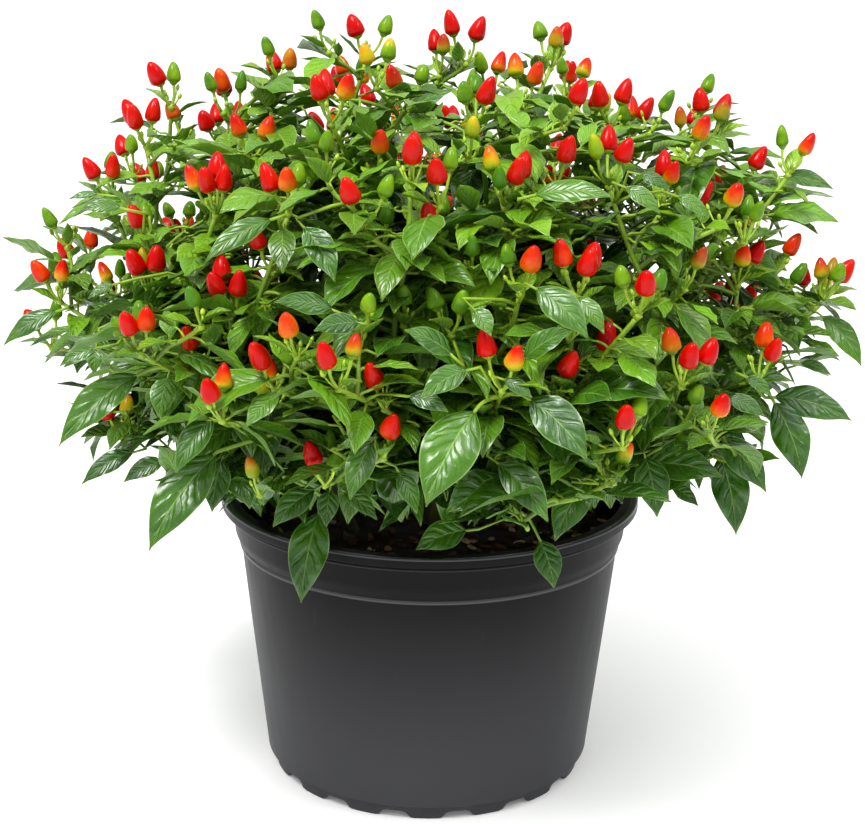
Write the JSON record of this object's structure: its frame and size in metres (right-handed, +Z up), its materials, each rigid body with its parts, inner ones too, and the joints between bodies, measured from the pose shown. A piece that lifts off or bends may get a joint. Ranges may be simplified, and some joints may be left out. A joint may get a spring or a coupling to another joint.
{
  "type": "potted chilli pepper plant",
  "caption": "Ornamental chilli pepper plant with a round crown of glossy leaves and small upright fruit, growing in a squat dark nursery pot filled with soil.",
  "frame": {"origin": "on the floor under the middle of the pot, at the lowest edge of its foot ring", "axes": "+Z up, +X to the right in the picture's view, +Y away from the viewer"},
  "size_m": [0.4749, 0.4834, 0.4492],
  "materials": {
    "pot": "satin charcoal",
    "soil": "crumbly dark compost with wood chips",
    "foliage": "glossy living leaf",
    "fruit": "glossy waxy skin, green to yellow, orange and red"
  },
  "bodies": {
    "root": {"pot": "pot", "soil": "soil", "stem_front": "foliage", "stem_front_left": "foliage", "stem_back_left": "foliage", "stem_back": "foliage", "stem_back_right": "foliage", "stem_front_right": "foliage", "stem_middle": "foliage"}
  },
  "joints": []
}
